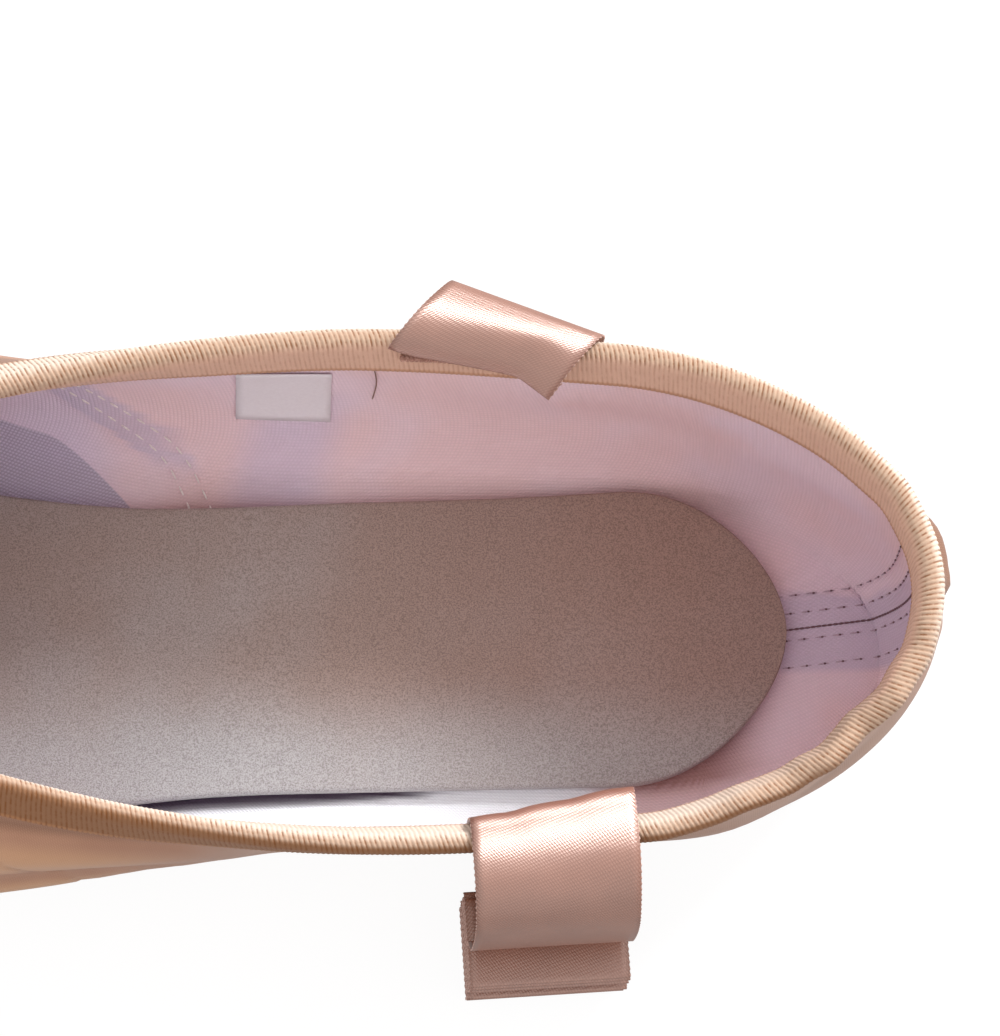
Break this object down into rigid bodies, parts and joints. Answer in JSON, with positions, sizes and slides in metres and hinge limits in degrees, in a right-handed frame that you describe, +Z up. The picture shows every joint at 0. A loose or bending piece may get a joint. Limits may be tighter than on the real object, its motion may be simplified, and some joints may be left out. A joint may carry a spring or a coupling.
{
  "type": "pointe_shoe",
  "caption": "Peach satin pointe shoe standing empty on its sole, with a cotton lining, suede insole, ribbed collar binding and a satin ribbon sewn inside each side.",
  "frame": {"origin": "on the floor, under the centre of the heel's flat spot", "axes": "+X to the toe, +Y to the shoe's left side, +Z up from the floor"},
  "size_m": [0.2356, 0.1025, 0.0508],
  "materials": {
    "leather": "matt, bare",
    "satin": "soft sheen",
    "suede": "napped",
    "tape": "matt, cross-ribbed",
    "ribbon": "satin sheen"
  },
  "bodies": {
    "root": {"outsole": "leather", "upper": "satin", "insole": "suede", "collar_binding": "tape", "ribbon_left": "ribbon", "ribbon_left_folds": "ribbon", "ribbon_right": "ribbon", "ribbon_right_folds": "ribbon"}
  },
  "joints": []
}
